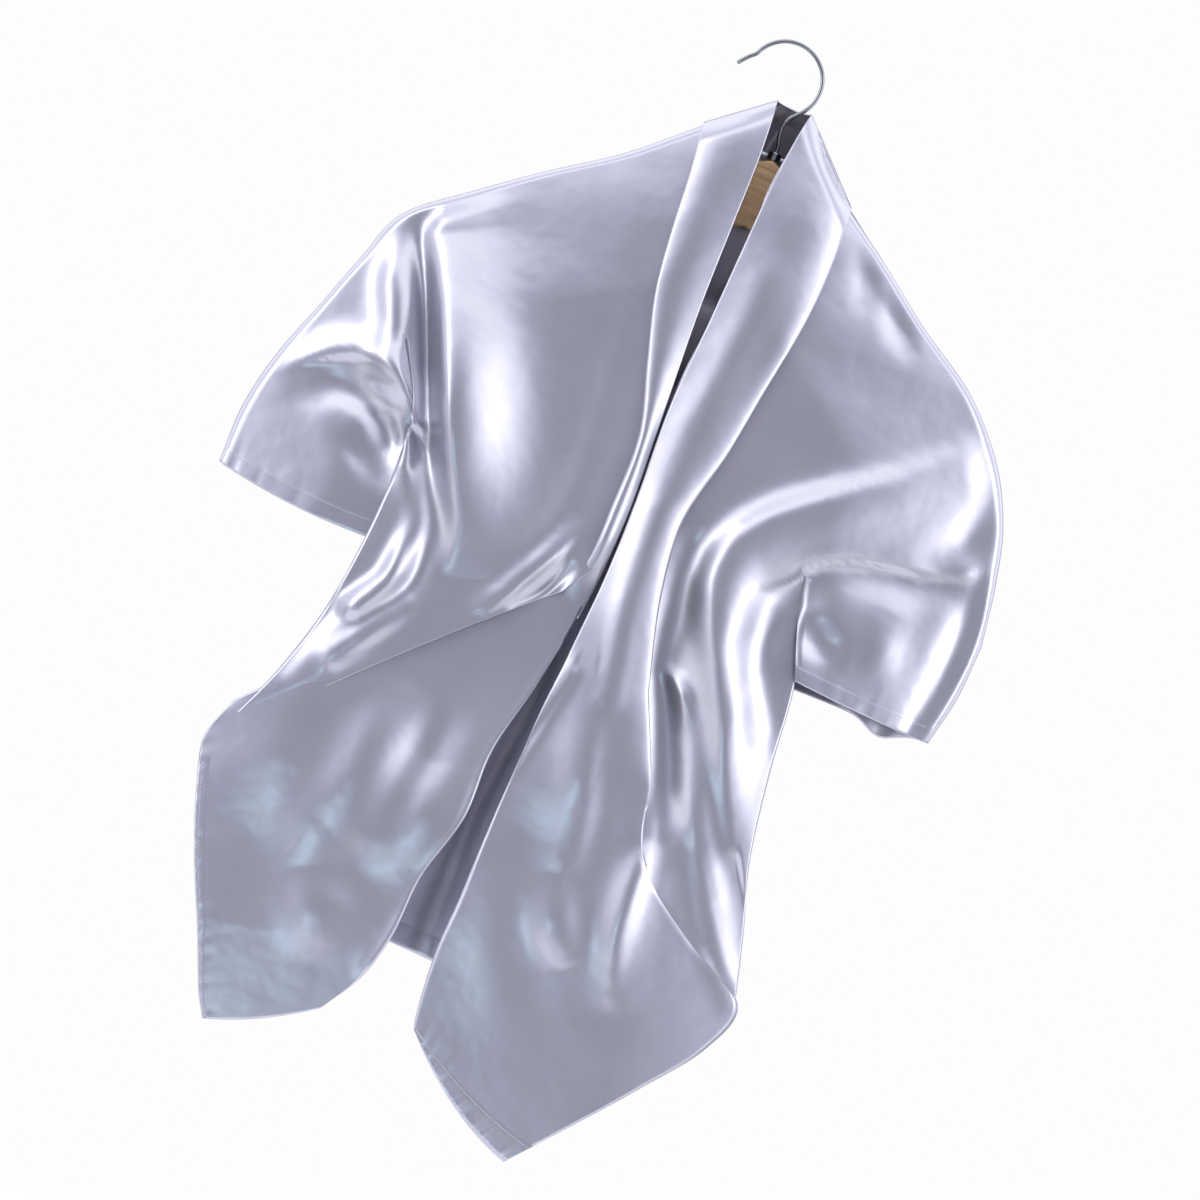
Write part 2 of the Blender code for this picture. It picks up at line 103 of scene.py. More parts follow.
form = rows_of(namedtuple("Form", "down front back reach"))
FORM = form(
    (0, 11, 14, 24), (40, 15, 15, 50), (100, 18, 16, 85), (200, 21, 17, 115),
    (300, 25, 18, 125), (400, 28, 20, 130), (600, 30, 21, 130), (800, 27, 20, 130))
print(f"stole: {(OUTLINE[-2].right - OUTLINE[-2].left) / 1000:.2f} m across its sleeves")

# %% [markdown]
# ## Folds
# A fold in satin is a soft ridge or trough that follows a curved path. Each row below is one: how
# high it stands at its start, middle and end, how wide it is on either side of the path, and the
# path itself. A crisp one says so. Cloth simulation could make folds like these, but not these
# ones, so they are placed one by one.

# %% Folds of the fronts
SOFT, CRISP = 2.0, 1.35
folds = rows_of(
    namedtuple("Fold", "start middle end left right path sharp", defaults=[SOFT]))
LEFT_FOLDS = folds(
    # from the end of the hanger's arm, fanning down to the gathers
    (3, 9, 5, 17, 12, [(-228, 184), (-214, 210), (-200, 236), (-190, 262), (-186, 286)]),
    (-5, -17, -1, 10, 9, [(-212, 178), (-188, 221), (-165, 272), (-145, 325), (-128, 375),
         (-120, 412), (-132, 436)]),
    (1, 4, 1, 4, 4, [(-214, 182), (-191, 226), (-165, 282), (-148, 330)]),
    (6, 26, 0, 40, 10, [(-190, 180), (-170, 216), (-144, 270), (-120, 321), (-97, 364),
         (-88, 398)]),
    (-1, -2, -2, 16, 12, [(-52, 130), (-42, 200), (-34, 270), (-32, 320), (-40, 376)]),
    (2, 14, 9, 9, 9, [(-188, 286), (-166, 299), (-150, 322), (-137, 350), (-127, 380),
         (-128, 412), (-146, 442)]),
    (2, 6, 0, 9, 5, [(-60, 408), (-46, 384), (-32, 356), (-22, 326)]),
    (-2, -6, 0, 4, 5, [(-40, 402), (-26, 384), (-15, 354)]),
    (2, 5, 3, 8, 8, [(-112, 430), (-126, 450), (-146, 480)]),
    (-2, -5, -2, 8, 8, [(-140, 420), (-158, 446), (-178, 500)]),
    # the sleeve's arch, with a hollow below it
    (2, 6, 9, 13, 3.5, [(-264, 312), (-245, 295), (-228, 284), (-205, 276), (-184, 279),
         (-166, 292), (-154, 308)]),
    (-2, -8, -8, 13, 12, [(-232, 318), (-216, 306), (-198, 304), (-180, 312), (-168, 328)]),
    (2, 5, 3, 4, 4, [(-186, 308), (-168, 312), (-157, 324), (-152, 340)], CRISP),
    (-1, -4, -3, 9, 9, [(-202, 330), (-186, 342), (-166, 352)]))
RIGHT_FOLDS = folds(
    # the tall gathered ridge, from the hanger's arm down to the tip
    (3, 12, 5, 30, 13, [(218, 180), (170, 224), (130, 254), (100, 280), (84, 304), (81, 330),
         (90, 354), (108, 386), (128, 424), (148, 462), (164, 492)]),
    (-4, -10, -3, 15, 16, [(138, 314), (126, 336), (124, 358), (136, 390), (154, 414)]),
    (-5, -12, -6, 16, 15, [(58, 318), (61, 356), (68, 400), (82, 432), (98, 472), (108, 512)]),
    (1, 3, 0, 9, 9, [(90, 420), (110, 450), (134, 492), (162, 533), (206, 596)]),
    (1, 2, 2, 8, 8, [(142, 520), (170, 558), (207, 600)]),
    (2, 5, 2, 5, 5, [(74, 402), (88, 412), (98, 428)], CRISP),
    (-1, -2, -1, 9, 9, [(94, 84), (98, 96), (103, 108)]),
    (-1, -2, -1, 8, 8, [(120, 104), (130, 116), (142, 128)]),
    (-1, -4, -2, 14, 14, [(246, 206), (238, 232), (220, 258)]),
    (2, 4, 3, 12, 12, [(252, 222), (256, 240), (248, 258)]),
    # the sleeve's arch and hollow
    (-5, -8, -3, 3.5, 20, [(136, 304), (148, 295), (166, 286), (190, 280), (214, 276),
         (236, 269), (254, 259)]),
    (-3, -6, 0, 12, 12, [(146, 326), (154, 336), (168, 344), (186, 346)]),
    (-3, -9, -6, 8, 12, [(250, 210), (260, 262), (262, 320), (256, 372)]),
    (1, 3, 1, 12, 12, [(206, 308), (206, 330), (216, 352)]))
print("front folds:", len(LEFT_FOLDS) + len(RIGHT_FOLDS))

# %% Folds of the collar and the ends
END_FOLDS = folds(
    (1, 8, 3, 28, 22, [(-92, 476), (-96, 520), (-100, 560), (-112, 590)]),
    (-1, -6, -2, 18, 18, [(-58, 470), (-62, 515), (-68, 560)]),
    (0, 4, 0, 24, 18, [(-104, 622), (-90, 650), (-78, 684)]),
    (0, 4, 0, 18, 18, [(-48, 520), (-42, 556), (-44, 596)]),
    (0, -3, 0, 22, 22, [(-66, 590), (-70, 612), (-76, 640)]),
    (0, -4, 0, 30, 30, [(-158, 560), (-152, 610), (-136, 680)]),
    (3, 5, 3, 6, 9, [(10, 430), (2, 470), (-8, 520), (-14, 570), (-22, 620), (-34, 670)]),
    # the right end, gathered at the foot of the tall ridge
    (4, 10, 0, 13, 15, [(96, 480), (106, 515), (108, 548), (113, 590), (130, 640)], CRISP),
    (1, 4, 2, 11, 18, [(30, 430), (42, 476), (54, 514), (60, 548)]),
    (1, 6, 1, 15, 18, [(58, 560), (68, 590), (88, 622)]),
    (1, 2, 1, 20, 20, [(20, 570), (30, 620), (56, 664)]),
    (1, 2, 2, 9, 9, [(22, 300), (28, 360), (44, 434)]),
    (1, 2, 1, 13, 13, [(34, 120), (32, 180), (24, 240), (22, 300)]),
    (0, -1, 0, 10, 10, [(50, 110), (46, 170), (38, 230)]))

# %% Folds of the back
BACK_FOLDS = folds(
    (2, 9, 7, 24, 22, [(-160, 140), (-122, 250), (-104, 400), (-98, 540), (-108, 665)]),
    (2, 8, 7, 22, 24, [(172, 140), (130, 256), (112, 400), (102, 540), (112, 665)]),
    (-2, -8, -7, 20, 20, [(-66, 220), (-54, 400), (-58, 545), (-62, 672)]),
    (2, 9, 8, 18, 18, [(-18, 260), (-6, 430), (-14, 555), (-12, 672)]),
    (-2, -8, -8, 18, 18, [(40, 240), (52, 420), (46, 560), (54, 672)]),
    (-2, -7, -6, 18, 18, [(-222, 220), (-198, 300), (-200, 392)]),
    (-2, -7, -6, 18, 18, [(226, 220), (200, 300), (206, 392)]),
    (1, 4, 4, 10, 10, [(-232, 250), (-238, 310), (-246, 384)]),
    (1, 4, 4, 10, 10, [(242, 250), (238, 310), (236, 380)]),
    (1, 4, 3, 10, 10, [(-120, 90), (-60, 130), (0, 148), (60, 132), (124, 92)], CRISP),
    (1, 3, 2, 12, 12, [(-150, 130), (-70, 190), (0, 214), (76, 190), (160, 128)]),
    (1, 5, 4, 9, 9, [(-134, 430), (-132, 540), (-140, 640)]),
    (1, 5, 4, 9, 9, [(136, 430), (132, 540), (138, 640)]))
print("all folds:", len(LEFT_FOLDS) + len(RIGHT_FOLDS) + len(END_FOLDS) + len(BACK_FOLDS))

# %% [markdown]
# ## From tables to surfaces
# A few numbers make a smooth surface when a curve runs through them. The curve here is the usual
# Hermite one, which passes through each value and keeps its slope.

# %% Curves
def through(known, values, wanted):
    known = np.asarray(known, float)
    values = np.asarray(values, float)
    wanted = np.clip(np.asarray(wanted, float), known[0], known[-1])
    slope = np.gradient(values, known)
    step = np.clip(np.searchsorted(known, wanted, side="right") - 1, 0, len(known) - 2)
    width = known[step + 1] - known[step]
    t = (wanted - known[step]) / width
    start = values[step] * (1 + 2 * t) * (1 - t) ** 2 + slope[step] * width * t * (1 - t) ** 2
    end = values[step + 1] * t * t * (3 - 2 * t) + slope[step + 1] * width * t * t * (t - 1)
    return start + end


def column(table, name, wanted):
    return through([row.down for row in table], [getattr(row, name) for row in table], wanted)


def ease(low, high, value):
    t = np.clip((value - low) / (high - low), 0, 1)
    return t * t * (3 - 2 * t)


def lengths_along(points):
    steps = [math.dist(a, b) for a, b in zip(points, points[1:])]
    return np.concatenate([[0.0], np.cumsum(steps)])


print(f"left edge half way down: {column(OUTLINE, 'left', 400):.0f} mm")

# %% Relief of a set of folds
PATH_STEP = 4.0  # a fold's path is walked in steps of about this many millimetres
FOLD_CREST = 1.2  # even a crisp crest is rounded by this much
FOLD_REACH = 2.6  # past this many widths a fold is too low to matter


def relief(fold_rows, across, down):
    total = np.zeros(across.shape)
    for fold in fold_rows:
        along = lengths_along(fold.path)
        places = np.linspace(0, along[-1], max(4, int(along[-1] / PATH_STEP)))
        path_x = through(along, [p[0] for p in fold.path], places)
        path_d = through(along, [p[1] for p in fold.path], places)
        reach = FOLD_REACH * max(fold.left, fold.right)
        near = ((across > path_x.min() - reach) & (across < path_x.max() + reach)
                & (down > path_d.min() - reach) & (down < path_d.max() + reach))
        x, d = across[near], down[near]
        best = np.full(x.shape, np.inf)
        side = np.zeros(x.shape)
        share = np.zeros(x.shape)
        for k in range(len(places) - 1):
            run_x, run_d = path_x[k + 1] - path_x[k], path_d[k + 1] - path_d[k]
            size = run_x ** 2 + run_d ** 2
            t = np.clip(((x - path_x[k]) * run_x + (d - path_d[k]) * run_d) / size, 0, 1)
            off_x, off_d = x - path_x[k] - t * run_x, d - path_d[k] - t * run_d
            gap = np.hypot(off_x, off_d)
            closer = gap < best
            best = np.where(closer, gap, best)
            side = np.where(closer, (run_x * off_d - run_d * off_x) / math.sqrt(size), side)
            share = np.where(closer, (k + t) / (len(places) - 1), share)
        blend = ease(-2.0, 2.0, side)
        width = fold.left * (1 - blend) + fold.right * blend
        rounded = np.sqrt(best ** 2 + FOLD_CREST ** 2) - FOLD_CREST
        height = through([0, 0.5, 1], [fold.start, fold.middle, fold.end], share)
        total[near] += height * np.exp(-(rounded / width) ** fold.sharp)
    return total


tallest = max(abs(fold.middle) for fold in LEFT_FOLDS + RIGHT_FOLDS)
print("tallest front fold:", tallest, "mm")

# %% [markdown]
# ## Depth
# Where the stole's front turns into its back, over the hanger's arms and down the sleeves, the
# cloth rolls. Further in it swells away from the hanger. Each layer is this form plus its own
# folds, and a layer that lies on another is the same form moved out.

# %% The form under the folds
SHOULDER_SLOPE = 0.64  # level rows cross the sloping shoulder askew, so they measure long
SHOULDER_FOOT = (150, 230)  # how far down the slope gives way to the plumb side
SWELL_POWER = 1.35
SKIN_IN = (0, 5)  # from the edge, the cloth's own thickness comes in over this stretch
FOLDS_IN = (1, 30)  # and the folds over this one
LAYERS_MEET = (470, 530)  # below the sleeves the upper and lower layers run together


def from_edge(across, down):
    from_left = across - column(OUTLINE, "left", down)
    from_right = column(OUTLINE, "right", down) - across
    return np.minimum(from_left, from_right)


def stand_off(across, down, swell, over=0.0):
    steep = SHOULDER_SLOPE + (1 - SHOULDER_SLOPE) * ease(*SHOULDER_FOOT, down)
    inward = np.maximum(from_edge(across, down) + over, 0) * steep
    rolled = np.clip(inward / FOLD_ROLL, 0, 1)
    roll = (WOOD_THICK / 2 + SEAM) * np.sqrt(1 - (1 - rolled) ** 2)
    reach = column(FORM, "reach", down)
    skin = CLOTH / 2 * ease(*SKIN_IN, inward)
    swollen = 1 - (1 - np.clip(inward / reach, 0, 1)) ** SWELL_POWER
    return roll + skin + column(FORM, swell, down) * swollen


def inside(across, down):
    return ease(*FOLDS_IN, from_edge(across, down))


def low_down(down):
    """0 on the shoulders and 1 below the sleeves."""
    return ease(*LAYERS_MEET, down)


def front(across, down, u=None, v=None):
    height = relief(LEFT_FOLDS + RIGHT_FOLDS, across, down)
    height = height + relief(END_FOLDS, across, down) * low_down(down)
    return -stand_off(across, down, "front") - height * inside(across, down)


def back(across, down, u=None, v=None):
    return stand_off(across, down, "back") + relief(BACK_FOLDS, across, down) * inside(across, down)


def collar_form(across, down):
    height = relief(END_FOLDS, across, down)
    height = height + relief(LEFT_FOLDS + RIGHT_FOLDS, across, down) * low_down(down)
    return -stand_off(across, down, "front", OVER * (1 - low_down(down))) - height


bare = stand_off(60, 200, "front")
print(f"the form stands {bare:.1f} mm forward at the breast")

# %% [markdown]
# Some stretches slip behind a neighbour. Each takes its form and adds a distance back, eased in
# over a share of its width (u, from its outer edge) and of its length (v, from its top). The
# others are the form alone.

# %% Depth of the body's stretches
LEFT_UNDER = CLOTH + 1.5 * LAYER  # the left sleeve's inner edge lies this far behind the gathers
RIGHT_UNDER = CLOTH + 2 * LAYER  # the gathers on the right lie this far behind the sleeve
FIRST_SHARE = 0.08  # the first part of that distance comes at once, in the crease
FOOT_SINK = 1.9  # the foot of the left gathers sinks under the left end


def sleeve_left_depth(across, down, u, v):
    at_once = FIRST_SHARE * ease(0.7, 1.0, u) * ease(0.0, 0.08, v)
    slowly = (1 - FIRST_SHARE) * ease(0.6, 0.95, u) * ease(0.24, 0.5, v)
    return front(across, down) + LEFT_UNDER * (at_once + slowly)


def drape_left_depth(across, down, u, v):
    return front(across, down) + FOOT_SINK * ease(0.84, 1.0, v) * (1 - ease(0.3, 0.62, u))


def drape_right_depth(across, down, u, v):
    opening = FIRST_SHARE * ease(0.0, 0.03, v) + (1 - FIRST_SHARE) * ease(0.02, 0.2, v)
    behind_sleeve = (1 - ease(0.05, 0.35, u)) * opening * (1 - ease(0.42, 0.66, v))
    behind_end = 0.12 * ease(0.5, 1.0, u) * ease(0.42, 0.66, v) + 0.15 * ease(0.94, 1.0, v)
    return front(across, down) + RIGHT_UNDER * (behind_sleeve + behind_end)


print(f"layers lie {LEFT_UNDER:.1f} and {RIGHT_UNDER:.1f} mm apart")

# %% Depth of the collar, lapels and ends
END_BEHIND = CLOTH + LAYER + 2.0  # the left end is tucked this far behind the left lapel
LAPEL_FOOT_BEHIND = END_BEHIND + 1.2
END_LEFT_SINK = 0.8  # the left end's top runs in under the gathers
END_RIGHT_SINK = 0.9  # and so does the right end's outer edge
LAPEL_ROUND = 0.04  # share of a lapel's length that rounds over the shoulder
NAPE_ROUND = 0.14  # the same for the nape, as a share of its width


def shoulder_roll(share):
    """Rises like a quarter circle from the shoulder line, so front and back meet in a round."""
    return np.sqrt(1 - (1 - np.clip(share, 0, 1)) ** 2)


def lapel_lift(u, roll=LAPEL_ROLL):
    return CLOTH + SEAM + LAYER * (1 - u) + roll * np.sin(np.pi * u ** 0.8)


def lapel_right_depth(across, down, u, v):
    lift = lapel_lift(u, WIDE_ROLL) * ease(0, 0.05, v)
    return (collar_form(across, down) - lift) * shoulder_roll(v / LAPEL_ROUND)


def lapel_left_depth(across, down, u, v):
    going_under = ease(0.82, 1.0, v)
    lift = lapel_lift(u) * ease(0, 0.05, v) * (1 - going_under)
    rounded = (collar_form(across, down) - lift) * shoulder_roll(v / LAPEL_ROUND)
    return rounded + LAPEL_FOOT_BEHIND * going_under


def end_left_depth(across, down, u, v):
    tucked = END_BEHIND * ease(0.2, 0.62, u) * (1 - ease(0.12, 0.55, v))
    return collar_form(across, down) + tucked + END_LEFT_SINK * (1 - ease(0.1, 0.3, v))


def end_right_depth(across, down, u, v):
    running_in = ease(0.16, 0.36, v) * (1 - ease(0.0, 0.85, u))
    settling = 1 - 0.6 * ease(0.22, 0.45, v) - 0.4 * ease(0.45, 0.85, v)
    lift = lapel_lift(u, WIDE_ROLL) * settling * (1 - running_in)
    sunk = END_RIGHT_SINK * running_in * (1 - ease(0.0, 0.06, u)) * (1 - ease(0.57, 0.64, v))
    return collar_form(across, down) - lift + sunk


def nape_depth(across, down, u, v):
    lift = (CLOTH + LAYER) * ease(0.0, 0.25, v) * np.sin(np.pi * u) ** 0.5
    round_over = shoulder_roll(np.minimum(u, 1 - u) / NAPE_ROUND)
    return (stand_off(across, down, "back", OVER) + lift) * round_over


print(f"the left end hangs {END_BEHIND:.1f} mm behind its lapel")

# %% [markdown]
# ## Where each stretch lies
# A section runs from a stretch's outer edge to its inner one. Sag is how far the section's middle
# hangs below the straight line. A handful of sections is a whole stretch of the stole.

# %% Sections of the fronts and sleeves
sections = rows_of(
    namedtuple("Section", "outer outer_down inner inner_down sag", defaults=[0]))
FRONT_LEFT = sections(
    (-48, 36, -6, 30), (-95, 78, -5, 66), (-140, 110, -4, 100), (-179, 140, -4, 130),
    (-220, 174, -3, 160), (-237, 216, 0, 208), (-250, 255, 3, 255))
FRONT_RIGHT = sections(
    (45, 36, 13, 32), (105, 78, 10, 66), (149, 110, 11, 100), (196, 140, 10, 130),
    (229, 174, 8, 162), (253, 216, 4, 210), (264, 255, 5, 255), (272, 302, 9, 302))
SLEEVE_LEFT = sections(
    (-250, 255, -185, 255), (-266, 302, -157, 300), (-274, 343, -150, 345),
    (-274, 386, -152, 395, 4))
SLEEVE_RIGHT = sections(
    (272, 302, 136, 302), (270, 343, 146, 340), (263, 379, 158, 374, 1))

# %% Sections of the gathers, lapels and ends
DRAPE_LEFT = sections(
    (-185, 255, 3, 255), (-161, 300, 5, 286), (-156, 345, 6, 314), (-157, 395, 5, 336, 4),
    (-163, 448, 2, 350, 6), (-179, 508, -5, 362), (-207, 574, -14, 377, -6))
DRAPE_RIGHT = sections(
    (136, 302, 9, 302), (151, 340, 18, 334), (161, 385, 34, 376), (167, 440, 52, 420),
    (178, 505, 72, 464), (192, 548, 86, 502), (207, 601, 98, 546))
LAPEL_LEFT = sections(
    (-50, 35, -8, 1), (-45, 70, -5, 42), (-41, 115, -4, 98), (-35, 160, -3, 154),
    (-21, 210, 0, 208), (-8, 255, 3, 255), (-6, 310, 6, 310), (-7, 352, 5, 350),
    (-17, 388, 1, 392))
LAPEL_RIGHT = sections(
    (69, 51, 18, 1), (71, 90, 13, 42), (69, 140, 10, 105), (61, 195, 8, 161), (54, 245, 5, 230),
    (43, 305, 8, 300), (49, 355, 9, 352), (66, 420, 6, 420))
END_LEFT = sections(
    (-198, 536, 3, 362, -12), (-208, 566, 0, 400), (-200, 599, -8, 448), (-183, 644, -20, 505),
    (-171, 670, -20, 552), (-160, 693, -32, 600), (-150, 716, -36, 650), (-142, 734, -46, 686),
    (-133, 749, -60, 711, 4))
END_RIGHT = sections(
    (66, 420, 6, 420), (91, 476, 3, 466), (110, 530, 1, 520), (160, 568, 0, 566),
    (209, 600, 0, 604), (199, 636, -1, 640), (168, 677, 1, 672), (133, 720, 4, 694, 3),
    (99, 761, 6, 700, 8))
BACK_TAIL = sections(
    (-152, 384, 150, 384), (-158, 450, 156, 450), (-166, 520, 164, 520), (-164, 590, 162, 592),
    (-150, 634, 150, 640, 20))

# %% [markdown]
# ## Laying a sheet
# Rows of points through the sections, each pushed to its depth, make a grid of four-sided faces.
# Its UV map is in metres of cloth, so threads and creases keep their real size on every sheet.

# %% Rows of points
def spaced(count, crowd=1.0):
    return np.linspace(0, 1, count) ** crowd


def both_ways(count, crowd=1.5):
    half = spaced(count // 2 + 1, crowd) / 2
    return np.concatenate([half, 1 - half[-2::-1]])


def lay(stretch, columns, rows):
    mids = [((s.outer + s.inner) / 2, (s.outer_down + s.inner_down) / 2) for s in stretch]
    along = lengths_along(mids)
    outer, outer_down, inner, inner_down, sag = [
        through(along / along[-1], values, rows) for values in zip(*stretch)]
    u = columns[None, :]
    across = outer[:, None] + (inner - outer)[:, None] * u
    down = outer_down[:, None] + (inner_down - outer_down)[:, None] * u
    return across, down + sag[:, None] * 4 * u * (1 - u)


def patch(stretch, columns, rows, depth):
    across, down = lay(stretch, columns, rows)
    u, v = np.meshgrid(columns, rows)
    return np.stack([across, depth(across, down, u, v), down], axis=-1)


def to_frame(points):
    across, depth, down = points[..., 0], points[..., 1], points[..., 2]
    return np.stack([(across + NECK_SIDE) * MM, depth * MM, -(down + NECK_DROP) * MM], axis=-1)


print("rows of points, crowded to the start:", spaced(5, 2.0))

# %% Folded and sewn edges
CURL_TURNS = (30, 60, 90, 125, 160)  # degrees that a turned-under edge goes through
PUCKERS = [(1.0, 2.3, 0.0), (0.7, 3.7, 1.1), (0.5, 6.1, 0.4)]  # height, spacing and start of each

HEM_LEAN = 1.3  # dimples are spaced by this much of across, added to down


def curled(points, radius, first=False):
    """The same grid with its last column (or its first) turned under in a half circle."""
    if first:
        return curled(points[:, ::-1], radius)[:, ::-1]
    way = points[:, -1] - points[:, -3]
    way /= np.linalg.norm(way, axis=-1, keepdims=True)
    under = np.array([0.0, 1.0, 0.0])
    under = under - (way @ under)[:, None] * way
    under /= np.linalg.norm(under, axis=-1, keepdims=True)
    radius = np.broadcast_to(radius, len(points))[:, None]
    extra = [points[:, -1] + radius * (math.sin(turn) * way + (1 - math.cos(turn)) * under)
             for turn in np.radians(CURL_TURNS)]
    return np.concatenate([points, np.stack(extra, axis=1)], axis=1)


def puckered(points, edge, height=0.25, fade=14.0):
    """Small dimples where a sewn hem draws the cloth in. edge is the grid's sewn side."""
    side = {"end": points[-1:], "first": points[:, :1]}[edge]
    far = np.linalg.norm((points - side)[..., [0, 2]], axis=-1)
    along = HEM_LEAN * side[..., 0] + side[..., 2]
    wave = sum(tall * np.sin(along / spacing + start) for tall, spacing, start in PUCKERS)
    moved = points.copy()
    moved[..., 1] += height * wave * np.exp(-far / fade)
    return moved


print("a curled edge turns", CURL_TURNS[-1], "degrees")

# %% A mesh from grids of points
WELD = 0.02 * MM


def select_only(piece):
    bpy.ops.object.select_all(action="DESELECT")
    piece.select_set(True)
    bpy.context.view_layer.objects.active = piece


def mesh_object(name, vertices, faces, maps):
    """A smooth welded mesh whose UV map, in metres of cloth, is called cloth."""
    mesh = bpy.data.meshes.new(name)
    mesh.from_pydata(vertices, [], faces)
    layer = mesh.uv_layers.new(name="cloth")
    corner_points = np.empty(len(mesh.loops), int)
    mesh.loops.foreach_get("vertex_index", corner_points)
    layer.data.foreach_set("uv", np.array(maps)[corner_points].ravel())
    piece = bpy.data.objects.new(name, mesh)
    bpy.context.scene.collection.objects.link(piece)
    weld = bmesh.new()
    weld.from_mesh(mesh)
    bmesh.ops.remove_doubles(weld, verts=weld.verts, dist=WELD)
    weld.to_mesh(mesh)
    weld.free()
    mesh.shade_smooth()
    return piece


def sheet(name, patches):
    """One piece of cloth from grids of points. Grids that share an edge are welded there."""
    vertices, faces, maps = [], [], []
    for points, back_side in patches:
        rows, columns, _ = points.shape
        index = len(vertices) + np.arange(rows * columns).reshape(rows, columns)
        vertices.extend(to_frame(points).reshape(-1, 3).tolist())
        maps.extend(zip(points[..., 0].ravel() * MM, -points[..., 2].ravel() * MM))
        ring = np.stack([index[:-1, :-1], index[1:, :-1], index[1:, 1:], index[:-1, 1:]], axis=-1)
        if (points[0, -1, 0] > points[0, 0, 0]) == back_side:
            ring = ring[..., ::-1]
        faces.extend(ring.reshape(-1, 4).tolist())
    piece = mesh_object(name, vertices, faces, maps)
    shell = piece.modifiers.new("satin", "SOLIDIFY")
    shell.thickness = SATIN_THICK * MM
    shell.offset = 0
    select_only(piece)
    bpy.ops.object.modifier_apply(modifier=shell.name)
    print(f"{name}: {len(piece.data.polygons)} faces, {one_side(patches):.3f} m2 on one side")
    return piece


def one_side(patches):
    total = 0.0
    for points, _ in patches:
        place = to_frame(points)
        down_step = place[1:, :-1] - place[:-1, :-1]
        side_step = place[:-1, 1:] - place[:-1, :-1]
        total += np.linalg.norm(np.cross(down_step, side_step), axis=-1).sum()
    return total


print(f"satin {SATIN_THICK} mm thick")

# %% [markdown]
# ## The body of the stole
# The cloth comes over the hanger's arms, falls like sleeves outside and gathers into drapes inside.
# Sleeve and drape share the front's last row of points, so they weld to it with no seam. The
# back's edges are the fronts' own outer points, so the two meet in a round fold, and all of it is
# one sheet.

# %% Fronts, sleeves and gathers
SLEEVE_COLUMNS = 30
DRAPE_COLUMNS = 64
FRONT_ROWS = 74
SLEEVE_ROWS = 40
DRAPE_ROWS = 100
SLEEVE_LEFT_LONG = 135.0
SLEEVE_RIGHT_LONG = 80.0
HEM_DEEP = 12.0
HEM_ROWS = 7

sleeve_columns = spaced(SLEEVE_COLUMNS, 1.35)


def front_columns(stretch, sleeve):
    first, last = stretch[-1].outer, stretch[-1].inner
    share = (first - sleeve[0].inner) / (first - last)
    drape_part = share + (1 - share) * spaced(DRAPE_COLUMNS)
    return np.concatenate([sleeve_columns * share, drape_part[1:]])


def rows_to_hem(count, length):
    """Rows down to a hem, with the hem's own rows closer together at the end."""
    hem = 1 - HEM_DEEP / length
    above = np.linspace(0, hem, count - HEM_ROWS + 1)
    return np.concatenate([above, np.linspace(hem, 1, HEM_ROWS)[1:]])


left_columns = front_columns(FRONT_LEFT, SLEEVE_LEFT)
right_columns = front_columns(FRONT_RIGHT, SLEEVE_RIGHT)
left_rows = rows_to_hem(SLEEVE_ROWS, SLEEVE_LEFT_LONG)
right_rows = rows_to_hem(SLEEVE_ROWS, SLEEVE_RIGHT_LONG)
drape_columns, drape_rows = spaced(DRAPE_COLUMNS), spaced(DRAPE_ROWS)
front_left = patch(FRONT_LEFT, left_columns, spaced(FRONT_ROWS), front)
front_right = patch(FRONT_RIGHT, right_columns, spaced(FRONT_ROWS), front)
sleeve_left = patch(SLEEVE_LEFT, sleeve_columns, left_rows, sleeve_left_depth)
sleeve_right = patch(SLEEVE_RIGHT, sleeve_columns, right_rows, front)
drape_left = patch(DRAPE_LEFT, drape_columns, drape_rows, drape_left_depth)
drape_right = patch(DRAPE_RIGHT, drape_columns, drape_rows, drape_right_depth)
for side in (front_left, front_right, sleeve_left, sleeve_right):
    side[:, 0, 1] = 0  # front and back meet here, in the hanger's middle plane
print("front rows and columns:", front_left.shape[:2])

# %% Back and tail
SIDE_COLUMNS = 24
TAIL_COLUMNS = 70
TAIL_ROWS = 58
TAIL_LONG = 265.0
PEEK_ACROSS, PEEK_WIDE, PEEK_DROP = 230, 15, 9  # the right sleeve's back shows below its front


def back_patch():
    left_edge = np.concatenate([front_left[:, 0], sleeve_left[1:, 0]])
    right_edge = np.concatenate([front_right[:, 0], sleeve_right[1:, 0]])
    low = BACK_TAIL[0]
    whole = right_edge[-1, 0] - left_edge[-1, 0]
    first = (low.outer - left_edge[-1, 0]) / whole
    last = (right_edge[-1, 0] - low.inner) / whole
    side_columns = spaced(SIDE_COLUMNS, 1.5)
    u = np.concatenate([
        side_columns * first,
        first + (1 - first - last) * spaced(TAIL_COLUMNS)[1:-1],
        1 - side_columns[::-1] * last])[None, :]
    across = left_edge[:, :1] + (right_edge[:, :1] - left_edge[:, :1]) * u
    down = left_edge[:, 2:] + (right_edge[:, 2:] - left_edge[:, 2:]) * u
    depth = back(across, down)
    depth[:, [0, -1]] = 0
    low_rows = ease(0.75, 1, spaced(len(down)))[:, None]
    peek = low_rows * np.exp(-((across - PEEK_ACROSS) / PEEK_WIDE) ** 2)
    return np.stack([across, depth, down + PEEK_DROP * peek], axis=-1)


back_panel = back_patch()
tail_top = back_panel[-1, SIDE_COLUMNS - 1:SIDE_COLUMNS - 1 + TAIL_COLUMNS]
tail_rows = rows_to_hem(TAIL_ROWS, TAIL_LONG)
back_tail = patch(BACK_TAIL, spaced(TAIL_COLUMNS), tail_rows, back)
to_panel = (tail_top - back_tail[0])[None]
back_tail = back_tail + to_panel * (1 - ease(0, 0.1, tail_rows))[:, None, None]

